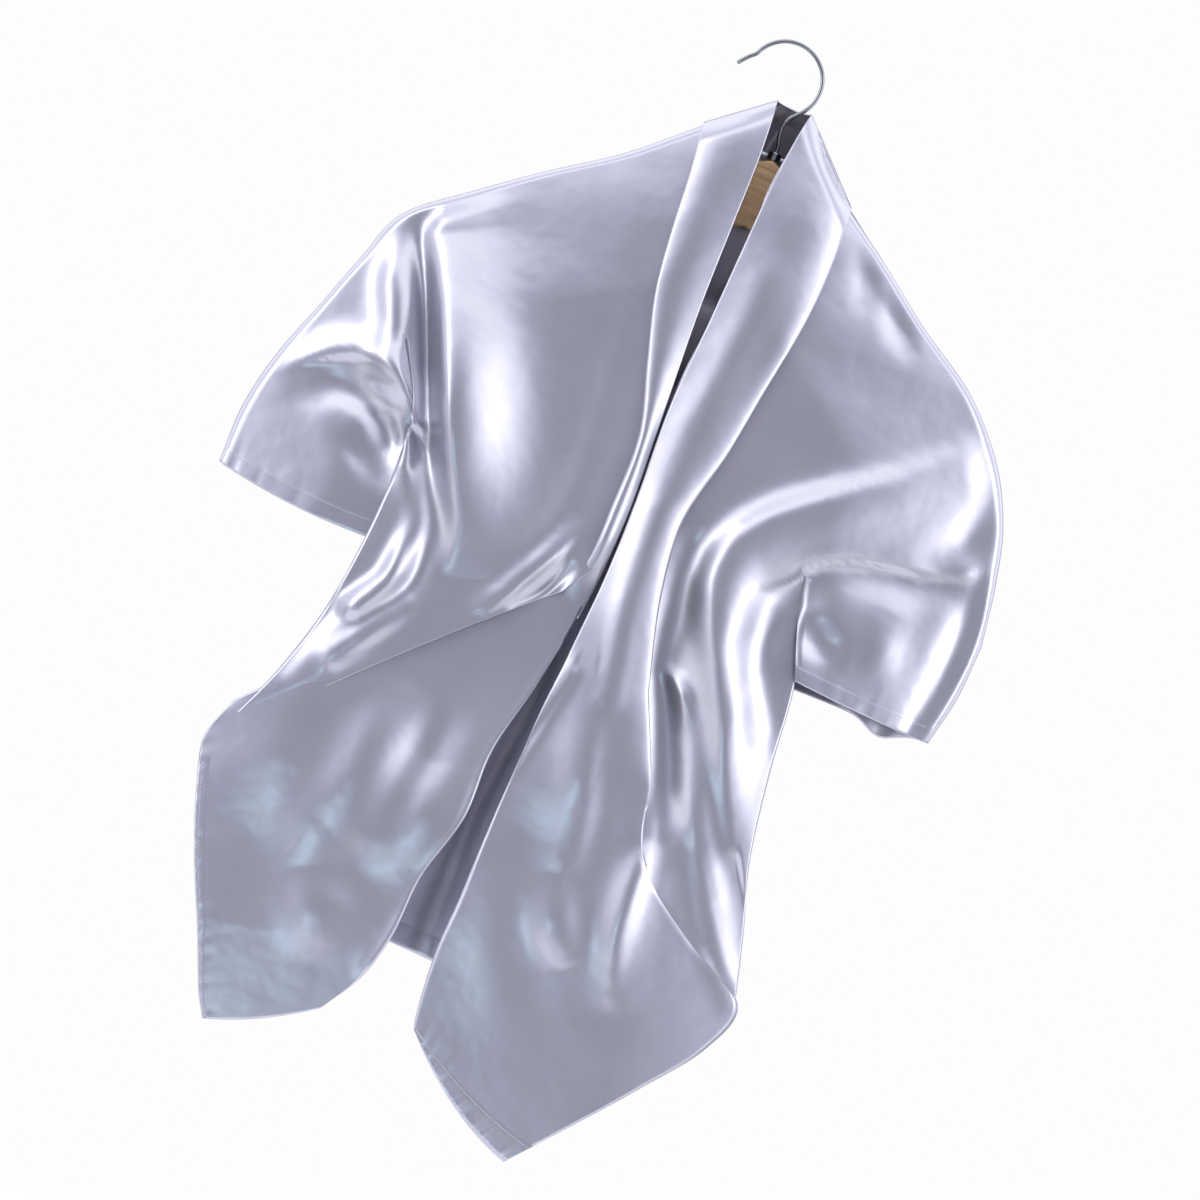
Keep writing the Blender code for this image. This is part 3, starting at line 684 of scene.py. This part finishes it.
sleeve_left = puckered(sleeve_left, "end")
sleeve_right = puckered(sleeve_right, "end")
back_tail = puckered(back_tail, "end")
sleeve_left[:, 0] = back_panel[FRONT_ROWS - 1:, 0]
sleeve_right[:, 0] = back_panel[FRONT_ROWS - 1:, -1]
body_patches = [(front_left, False), (sleeve_left, False), (drape_left, False),
                (front_right, False), (sleeve_right, False), (drape_right, False),
                (back_panel, True), (back_tail, True)]
body = sheet("stole_body", body_patches)

# %% [markdown]
# ## Collar and ends
# The stole's upper edge is turned out all the way: down the left end, up the left lapel, behind the
# nape, down the right lapel and the right end. It is one band, so it is one sheet. Where it is
# folded, its edge is curled under in a half circle, because a fold catches a fine line of light
# that a cut edge doesn't.

# %% Collar, lapels and hanging ends
COLLAR_COLUMNS = 56
LAPEL_ROWS = 120
END_ROWS = 112
END_LONG = 330.0
NAPE_COLUMNS = 60
NAPE_DEEP = 24
EDGE_SHARE = 0.035  # of the left end's width, for the columns of its sewn edge
EDGE_COLUMNS = 64
FOLD_RADIUS = 0.9
SOFT_CURL = 2.2
LEAST_CURL = 0.01  # a curl never closes up, so its faces keep an area

lapel_rows = spaced(LAPEL_ROWS, 1.2)
collar_columns = spaced(COLLAR_COLUMNS)
lapel_left = patch(LAPEL_LEFT, collar_columns, lapel_rows, lapel_left_depth)
lapel_right = patch(LAPEL_RIGHT, collar_columns, lapel_rows, lapel_right_depth)
end_rows = rows_to_hem(END_ROWS, END_LONG)
edge_columns = np.concatenate([
    np.linspace(0, EDGE_SHARE, HEM_ROWS), np.linspace(EDGE_SHARE, 1, EDGE_COLUMNS)[1:]])
end_left = patch(END_LEFT, edge_columns, end_rows, end_left_depth)
end_left = puckered(end_left, "first", height=0.175, fade=8.0)
end_right = patch(END_RIGHT, collar_columns, end_rows, end_right_depth)
end_right = puckered(end_right, "end", height=0.3, fade=9.0)


def nape_patch():
    left, right = lapel_left[0, ::-1], lapel_right[0, ::-1]
    u = both_ways(NAPE_COLUMNS)[None, :]
    v = spaced(COLLAR_COLUMNS)[:, None]
    across = left[:, :1] * (1 - u) + right[:, :1] * u
    down = left[:, 2:] * (1 - u) + right[:, 2:] * u + NAPE_DEEP * v ** 1.6 * 4 * u * (1 - u)
    return np.stack([across, nape_depth(across, down, u + 0 * v, v + 0 * u), down], axis=-1)


def curled_band(points, share):
    """Both edges of a band turned under, with share of the full radius in each row."""
    return curled(curled(points, FOLD_RADIUS * share), FOLD_RADIUS * share, first=True)


lapel_share = ease(0, 0.05, lapel_rows)
left_curl = SOFT_CURL * ease(0.15, 0.5, end_rows) * (1 - ease(0.9, 1, end_rows)) + LEAST_CURL
right_share = 1 - ease(0.1, 0.22, end_rows) + LEAST_CURL
collar_patches = [(curled_band(lapel_left, lapel_share), False),
                  (curled_band(lapel_right, lapel_share), False),
                  (nape_patch(), True),
                  (curled(end_left, left_curl), False),
                  (curled_band(end_right, right_share), False)]
collar = sheet("collar_and_ends", collar_patches)

# %% [markdown]
# ## Hems and stitches
# The cut edges are turned and sewn. Each hem is a narrow doubled band round the edge, and it
# follows the cloth's last rows, so it puckers with them. One stitch is modelled, then laid along
# each line.

# %% Hem bands
HEM_START, HEM_LIFT = 0.2, 0.5  # how far a band stands off the cloth, at its top and below


def facing(strip, out):
    """The strip's normals, turned to the front where out is -1 and to the back where it is +1."""
    normal = np.cross(np.gradient(strip, axis=0), np.gradient(strip, axis=1))
    normal /= np.maximum(np.linalg.norm(normal, axis=-1, keepdims=True), TINY)
    return normal * np.sign(normal[..., 1:2] * out + TINY)


def on_all_faces(piece, action, **settings):
    select_only(piece)
    bpy.ops.object.mode_set(mode="EDIT")
    bpy.ops.mesh.select_all(action="SELECT")
    action(**settings)
    bpy.ops.object.mode_set(mode="OBJECT")


def hem_band(name, strip, out):
    """strip is a grid whose last row is the sewn edge. out is the way it faces in depth."""
    normal = facing(strip, out)
    lift = np.full(len(strip), HEM_LIFT)
    lift[0] = HEM_START
    top = strip + normal * lift[:, None, None]
    under = strip - normal * lift[:, None, None]
    way = strip[-1] - strip[-2]
    way /= np.linalg.norm(way, axis=-1, keepdims=True)
    rim = (strip[-1] + way * HEM_LIFT)[None]
    points = np.concatenate([top, rim, under[::-1]], axis=0)
    rows, columns, _ = points.shape
    index = np.arange(rows * columns).reshape(rows, columns)
    ring = np.stack([index[:-1, :-1], index[:-1, 1:], index[1:, 1:], index[1:, :-1]], axis=-1)
    maps = list(zip(-points[..., 2].ravel() * MM, points[..., 0].ravel() * MM))
    piece = mesh_object(name, to_frame(points).reshape(-1, 3).tolist(),
                        ring.reshape(-1, 4).tolist(), maps)
    if piece.data.polygons[columns // 2].normal.y * out < 0:
        on_all_faces(piece, bpy.ops.mesh.flip_normals)
    print(f"{name}: {len(piece.data.polygons)} faces")
    return piece


HIDDEN_ROWS = 22  # of the left end, under the gathers
STRIPS = {  # each hem's strip of cloth, and the way it faces in depth
    "sleeve_hem_left": (sleeve_left[-HEM_ROWS:, 2:], -1),
    "sleeve_hem_right": (sleeve_right[-HEM_ROWS:, 2:], -1),
    "tail_hem": (back_tail[-HEM_ROWS:], 1),
    "end_hem_left": (np.swapaxes(end_left[HIDDEN_ROWS:, :HEM_ROWS], 0, 1)[::-1], -1),
    "end_hem_right": (end_right[-HEM_ROWS:], -1)}
hems = {node: hem_band(f"{node}_band", *strip) for node, strip in STRIPS.items()}

# %% One stitch
THREAD = 0.42
STITCH_LONG = 2.6
STITCH_STEP = 3.6
ZIGZAG_STEP = 1.7
STITCH_LIFT = 0.6  # how far a stitch lies off the cloth
LINE_MARGIN = 2.0  # a line of stitches starts and stops this far from its ends


def one_stitch():
    """A short round-ended thread, 1 unit long, lying along X."""
    bpy.ops.mesh.primitive_cylinder_add(vertices=6, radius=0.5, depth=1,
                                        rotation=(0, math.radians(90), 0))
    thread = bpy.context.object
    bpy.ops.object.transform_apply(rotation=True)
    bpy.ops.object.mode_set(mode="EDIT")
    bpy.ops.mesh.select_all(action="DESELECT")
    bpy.ops.mesh.select_mode(type="FACE")
    shape = bmesh.from_edit_mesh(thread.data)
    for face in shape.faces:
        face.select = abs(face.normal.x) > 0.9
    bmesh.update_edit_mesh(thread.data)
    bpy.ops.mesh.inset(thickness=0.14, depth=0.12)
    bpy.ops.object.mode_set(mode="OBJECT")
    corners = np.array([v.co[:] for v in thread.data.vertices])
    faces = [list(p.vertices) for p in thread.data.polygons]
    bpy.data.objects.remove(thread)
    print("one stitch:", len(faces), "faces")
    return corners, faces


STITCH_CORNERS, STITCH_FACES = one_stitch()


# %% Lines of stitches
def stitches(name, strip, row, out, slant):
    """Stitches along a row of a hem's strip. slant turns every other one, for a zigzag."""
    line, normal = strip[row], facing(strip, out)[row]
    along = np.concatenate([[0], np.cumsum(np.linalg.norm(np.diff(line, axis=0), axis=-1))])
    places = np.arange(LINE_MARGIN, along[-1] - LINE_MARGIN, ZIGZAG_STEP if slant else STITCH_STEP)

    def read(values, wanted):
        return np.stack([np.interp(wanted, along, values[:, k]) for k in range(3)], -1)

    at = read(line, places)
    ahead = read(line, places + 0.5) - at
    ahead /= np.linalg.norm(ahead, axis=-1, keepdims=True)
    up = read(normal, places)
    up /= np.linalg.norm(up, axis=-1, keepdims=True)
    side = np.cross(up, ahead)
    local = STITCH_CORNERS * [STITCH_LONG, THREAD, THREAD]
    vertices, faces = [], []
    for k in range(len(places)):
        turn = slant * (1 if k % 2 else -1)
        x = math.cos(turn) * ahead[k] + math.sin(turn) * side[k]
        y = math.cos(turn) * side[k] - math.sin(turn) * ahead[k]
        points = at[k] + local[:, :1] * x + local[:, 1:2] * y + (local[:, 2:] + STITCH_LIFT) * up[k]
        faces.extend([[corner + len(vertices) for corner in face] for face in STITCH_FACES])
        vertices.extend(to_frame(points).tolist())
    piece = mesh_object(name, vertices, faces, [(v[0], v[2]) for v in vertices])
    on_all_faces(piece, bpy.ops.mesh.normals_make_consistent, inside=False)
    print(f"{name}: {len(places)} stitches")
    return piece


threads = {}
for node, (strip, out) in STRIPS.items():
    first = 2 if node.startswith("sleeve") else 0
    row, slant = (4, 0.75) if node == "end_hem_left" else (1, 0.0)
    name = node.replace("_hem", "") + "_stitches"
    threads[node] = stitches(name, strip[:, first:], row, out, slant)

# %% [markdown]
# ## The hook
# A shop hanger's hook is one length of hard wire. Here it is a path with a round section, turned
# to a mesh, so it stays smooth all the way round. A small ball closes its tip, as on the real one.

# %% Hook
HOOK_TURN = (-38, 158)  # degrees of the hook's round part
HOOK_POINTS = 110
TIP_BALL = 1.12  # the tip's ball, against the wire


def hook_path():
    crown_x = -NECK_SIDE
    crown_down = WIRE / 2 + HOOK_RADIUS - NECK_DROP - WIRE
    loop = [(crown_x + HOOK_RADIUS * math.cos(turn), crown_down - HOOK_RADIUS * math.sin(turn))
            for turn in np.radians(np.linspace(*HOOK_TURN, 50))]
    shank = [(WOOD_SIDE, WOOD_TOP - 6.5), (WOOD_SIDE, 32), (WOOD_SIDE - 2, 25), (WOOD_SIDE - 3, 18),
             (WOOD_SIDE - 1, 11), (WOOD_SIDE + 3, 6)]
    tip = [(crown_x - 29.5, crown_down - 5), (crown_x - 34.5, crown_down + 1)]
    return shank, loop, tip


def wire_hook():
    shank, loop, tip = hook_path()
    route = np.array(shank + loop[::6] + [loop[-1]] + tip)
    along = lengths_along([tuple(p) for p in route])
    even = np.linspace(0, along[-1], HOOK_POINTS)
    across, down = (through(along, route[:, k], even) for k in (0, 1))
    smooth = np.stack([across, 0 * even, down], -1)
    bpy.ops.curve.primitive_nurbs_path_add(location=(0, 0, 0))
    wire = bpy.context.object
    wire.name = "chrome_hook_wire"
    wire.data.splines.clear()
    line = wire.data.splines.new("POLY")
    line.points.add(len(smooth) - 1)
    for point, place in zip(line.points, to_frame(smooth)):
        point.co = (*place, 1)
    wire.data.bevel_depth = WIRE / 2 * MM
    wire.data.bevel_resolution = 6
    wire.data.use_fill_caps = True
    select_only(wire)
    bpy.ops.object.convert(target="MESH")
    wire = bpy.context.object
    bpy.ops.mesh.primitive_uv_sphere_add(segments=20, ring_count=12, location=to_frame(smooth)[-1],
                                         radius=WIRE / 2 * TIP_BALL * MM)
    ball = bpy.context.object
    select_only(wire)
    ball.select_set(True)
    bpy.ops.object.join()
    wire.data.shade_smooth()
    for layer in list(wire.data.uv_layers):
        wire.data.uv_layers.remove(layer)
    print("hook wire:", len(wire.data.polygons), "faces")
    return wire


hook = wire_hook()

# %% [markdown]
# ## Satin
# Satin is woven so that long warp threads float over the weft. They lie side by side like fine
# wires, so the cloth has a broad metallic gleam across the threads and almost none along them.

# %% Colours and nodes
def linear(hex_colour):
    parts = [int(hex_colour[k:k + 2], 16) / 255 for k in (1, 3, 5)]
    return [p / 12.92 if p <= 0.04045 else ((p + 0.055) / 1.055) ** 2.4 for p in parts] + [1.0]


def add(tree, kind, settings=None, links=None):
    node = tree.nodes.new(kind)
    for name, value in (settings or {}).items():
        if isinstance(name, int) or name in node.inputs:
            node.inputs[name].default_value = value
        else:
            setattr(node, name, value)
    for name, source in (links or {}).items():
        tree.links.new(source, node.inputs[name])
    return node


def blank(name, settings):
    made = bpy.data.materials.new(name)
    made.use_nodes = True
    shader = made.node_tree.nodes["Principled BSDF"]
    for setting, value in settings.items():
        shader.inputs[setting].default_value = value
    return made, made.node_tree, shader


def two_tones(tree, shader, share, dark, light):
    tint = add(tree, "ShaderNodeMix", {"data_type": "RGBA"}, {"Factor": share})
    tint.inputs[6].default_value = linear(dark)
    tint.inputs[7].default_value = linear(light)
    tree.links.new(tint.outputs[2], shader.inputs["Base Color"])


print("mid grey in linear light:", round(linear("#808080")[0], 3))


# %% Polyester satin, silver
# Its warp runs down the cloth, so the gleam is stretched across it; the colour is a cool grey that
# turns lavender in the light. Threads of 0.1 mm are too fine to show, so the crush of the weave is
# drawn about 1 mm wide.
def silver_satin(name, dark="#a9a9b6", light="#b6b6c2"):
    made, tree, shader = blank(name, {"Metallic": 0.82, "Anisotropic": 0.45})
    cloth = add(tree, "ShaderNodeUVMap", {"uv_map": "cloth"}).outputs["UV"]
    cloud = add(tree, "ShaderNodeTexNoise", {"Scale": 22.0, "Detail": 3.0}, {"Vector": cloth})
    two_tones(tree, shader, cloud.outputs["Fac"], dark, light)
    slanted = add(tree, "ShaderNodeMapping",
                  {"Rotation": (0, 0, 0.4), "Scale": (1500.0, 900.0, 1.0)}, {"Vector": cloth})
    crush = add(tree, "ShaderNodeTexNoise", {"Scale": 1.0, "Detail": 3.0, "Roughness": 0.6},
                {"Vector": slanted.outputs["Vector"]})
    soft = add(tree, "ShaderNodeTexNoise", {"Scale": 34.0, "Detail": 2.0}, {"Vector": cloth})
    fine = add(tree, "ShaderNodeBump", {"Strength": 0.25, "Distance": 0.00002},
               {"Height": crush.outputs["Fac"]})
    bump = add(tree, "ShaderNodeBump", {"Strength": 0.5, "Distance": 0.0014},
               {"Height": soft.outputs["Fac"], "Normal": fine.outputs["Normal"]})
    tree.links.new(bump.outputs["Normal"], shader.inputs["Normal"])
    rough = add(tree, "ShaderNodeMapRange", {"To Min": 0.26, "To Max": 0.32},
                {"Value": crush.outputs["Fac"]})
    tree.links.new(rough.outputs["Result"], shader.inputs["Roughness"])
    tangent = add(tree, "ShaderNodeTangent", {"direction_type": "UV_MAP", "uv_map": "cloth"})
    tree.links.new(tangent.outputs["Tangent"], shader.inputs["Tangent"])
    return made


# %% Polyester thread
# Spun thread is duller than the satin and a little paler, which is why stitches show on it.
def sewing_thread():
    made, tree, shader = blank("polyester_thread_grey", {"Roughness": 0.6})
    cloth = add(tree, "ShaderNodeUVMap", {"uv_map": "cloth"}).outputs["UV"]
    twist = add(tree, "ShaderNodeTexWave", {"Scale": 900.0, "Distortion": 0.4}, {"Vector": cloth})
    two_tones(tree, shader, twist.outputs["Fac"], "#9a9aa6", "#c6c6d0")
    return made


# %% Oiled beech
# Planed across a shallow curve, so the grain runs along the hanger's arms, with fine darker flecks.
def oiled_beech():
    made, tree, shader = blank("beech_oiled", {"Roughness": 0.42})
    place = add(tree, "ShaderNodeTexCoord").outputs["Object"]
    drawn_out = add(tree, "ShaderNodeMapping", {"Scale": (12.0, 160.0, 160.0)}, {"Vector": place})
    grain = add(tree, "ShaderNodeTexNoise", {"Scale": 1.0, "Detail": 6.0, "Roughness": 0.65},
                {"Vector": drawn_out.outputs["Vector"]})
    ramp = add(tree, "ShaderNodeValToRGB", {}, {"Fac": grain.outputs["Fac"]})
    ramp.color_ramp.elements[0].position = 0.3
    ramp.color_ramp.elements[0].color = linear("#b0855a")
    ramp.color_ramp.elements[1].position = 0.72
    ramp.color_ramp.elements[1].color = linear("#e6c79c")
    tree.links.new(ramp.outputs["Color"], shader.inputs["Base Color"])
    bump = add(tree, "ShaderNodeBump", {"Strength": 0.3, "Distance": 0.0003},
               {"Height": grain.outputs["Fac"]})
    tree.links.new(bump.outputs["Normal"], shader.inputs["Normal"])
    return made


# %% Chromed steel
# A mirror with a faint blue cast, a little hazed by handling. Its colour is set darker than bare
# chrome, as painted shade for the dark surroundings a real hook reflects.
def chromed_steel():
    made, tree, shader = blank(
        "steel_chromed", {"Base Color": linear("#8e9196"), "Metallic": 1.0})
    place = add(tree, "ShaderNodeTexCoord").outputs["Object"]
    haze = add(tree, "ShaderNodeTexNoise", {"Scale": 120.0, "Detail": 3.0}, {"Vector": place})
    rough = add(tree, "ShaderNodeMapRange", {"To Min": 0.08, "To Max": 0.2},
                {"Value": haze.outputs["Fac"]})
    tree.links.new(rough.outputs["Result"], shader.inputs["Roughness"])
    return made


# %% Finishes on their pieces
def finish(piece, material):
    piece.data.materials.clear()
    piece.data.materials.append(material)


satin = silver_satin("polyester_satin_silver")
hem_satin = silver_satin("polyester_satin_silver_hem", "#a4a4b2", "#b9b9c6")
thread = sewing_thread()
chrome = chromed_steel()
for piece in (body, collar):
    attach(piece, "root")
    finish(piece, satin)
for node, piece in hems.items():
    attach(piece, "root")
    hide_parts(node)
    finish(piece, hem_satin)
for piece in threads.values():
    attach(piece, "root")
    finish(piece, thread)
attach(hook, "root")
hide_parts("hanger_hook")
finish(hook, chrome)
print("finishes:", ", ".join(m.name for m in bpy.data.materials if m.users))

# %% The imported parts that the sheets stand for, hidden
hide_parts("front_left", "front_right", "sleeve_left", "sleeve_right", "drape_left",
            "drape_right", "back_panel", "back_tail")
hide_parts("lapel_left", "lapel_right", "nape_collar", "end_left", "end_right")

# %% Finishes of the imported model's own hanger
beech = oiled_beech()
for name, material in (("hanger_wood", beech), ("hanger_ferrule", chrome)):
    node = bpy.data.objects[name]
    for slot in node.material_slots:
        slot.material = material
    print(name, len(node.material_slots), "slot")

# %% [markdown]
# ## Studio
# Satin shows its surroundings more than its colour, so the lights make the picture: tall soft
# boxes either side, a small cool window low in front, and a room that is dim behind the camera.

# %% Floor
FLOOR_DROP = 0.3
FLOOR_RADIUS = 0.9
MIDDLE_X = 0.01
bpy.ops.mesh.primitive_circle_add(vertices=96, radius=FLOOR_RADIUS, fill_type="NGON",
                                  location=(MIDDLE_X, 0, cad_box[0][2] - FLOOR_DROP))
floor = bpy.context.object
floor.name = "floor"
paint, _, _ = blank("matt_white_paint", {"Base Color": linear("#f7f7f7"), "Roughness": 0.9})
floor.data.materials.append(paint)
print(f"floor {FLOOR_DROP} m below the stole")


# %% Room and soft boxes
ROOM_STRENGTH = 2.1


def soft_box(name, place, aim, wide, tall, watts, colour="#ffffff"):
    data = bpy.data.lights.new(name, "AREA")
    data.shape = "RECTANGLE"
    data.size = wide
    data.size_y = tall
    data.energy = watts
    data.color = linear(colour)[:3]
    lamp = bpy.data.objects.new(name, data)
    lamp.location = place
    lamp.rotation_euler = (Vector(aim) - Vector(place)).to_track_quat("-Z", "Y").to_euler()
    lamp.visible_camera = False
    bpy.context.scene.collection.objects.link(lamp)


def studio_world():
    """White to look at. As a light it is bright at a slant, dim ahead and behind, darker below."""
    world = bpy.data.worlds.new("studio")
    world.use_nodes = True
    bpy.context.scene.world = world
    tree = world.node_tree
    way = add(tree, "ShaderNodeTexCoord").outputs["Generated"]
    parts = add(tree, "ShaderNodeSeparateXYZ", {}, {"Vector": way})
    ahead = add(tree, "ShaderNodeMath", {"operation": "ABSOLUTE"}, {0: parts.outputs["Y"]})
    room = add(tree, "ShaderNodeValToRGB", {}, {"Fac": ahead.outputs["Value"]})
    stops = [(0.0, "#c2c2ce"), (0.22, "#d6d6e2"), (0.40, "#ffffff"), (0.66, "#ffffff"),
             (0.78, "#c0c0d0"), (0.88, "#858590"), (1.0, "#77777e")]
    for position, colour in stops[1:-1]:
        room.color_ramp.elements.new(position)
    for stop, (position, colour) in zip(room.color_ramp.elements, stops):
        stop.position = position
        stop.color = linear(colour)
    below = add(tree, "ShaderNodeMapRange", {"From Min": -0.7, "From Max": -0.05, "To Min": 0.4},
                {"Value": parts.outputs["Z"]})
    lit = tree.nodes["Background"]
    tree.links.new(room.outputs["Color"], lit.inputs["Color"])
    power = add(tree, "ShaderNodeMath", {"operation": "MULTIPLY", 1: ROOM_STRENGTH},
                {0: below.outputs["Result"]})
    tree.links.new(power.outputs["Value"], lit.inputs["Strength"])
    seen = add(tree, "ShaderNodeBackground", {"Strength": 1.0})
    seen.inputs["Color"].default_value = linear("#fdfdfd")
    path = add(tree, "ShaderNodeLightPath")
    both = add(tree, "ShaderNodeMixShader", {}, {"Fac": path.outputs["Is Camera Ray"]})
    tree.links.new(lit.outputs["Background"], both.inputs[1])
    tree.links.new(seen.outputs["Background"], both.inputs[2])
    tree.links.new(both.outputs["Shader"], tree.nodes["World Output"].inputs["Surface"])


studio_world()
middle = (0.02, 0.0, -0.42)
for name, x in (("soft_box_left", -1.5), ("soft_box_right", 1.5)):
    soft_box(name, (x, -0.8, 0.1), middle, wide=0.5, tall=1.6, watts=6)
soft_box("window", (-0.42, -2.2, -1.3), middle, wide=0.2, tall=0.5, watts=1.7, colour="#c4e8ee")

# %% Camera
TILT = math.radians(22.5)
FRAME_WIDE = 0.84  # metres across the picture, at the cloth's front
CLOTH_FRONT = -0.02
CAMERA_X, CAMERA_Z = 0.0201, -0.414
LENS = 135.0
SENSOR = 36.0
camera_data = bpy.data.cameras.new("camera")
camera_data.lens = LENS
camera_data.sensor_width = SENSOR
camera = bpy.data.objects.new("camera", camera_data)
right = Vector((math.cos(TILT), 0, math.sin(TILT)))
up = Vector((-math.sin(TILT), 0, math.cos(TILT)))
towards = Vector((0, -1, 0))
camera_y = CLOTH_FRONT - FRAME_WIDE * LENS / SENSOR
turned = Matrix((right, up, towards)).transposed().to_4x4()
camera.matrix_world = Matrix.Translation((CAMERA_X, camera_y, CAMERA_Z)) @ turned
bpy.context.scene.collection.objects.link(camera)
bpy.context.scene.camera = camera
bpy.context.scene.view_settings.view_transform = "Standard"
print(f"camera {-camera_y:.2f} m away, rolled {math.degrees(TILT):.1f} degrees")
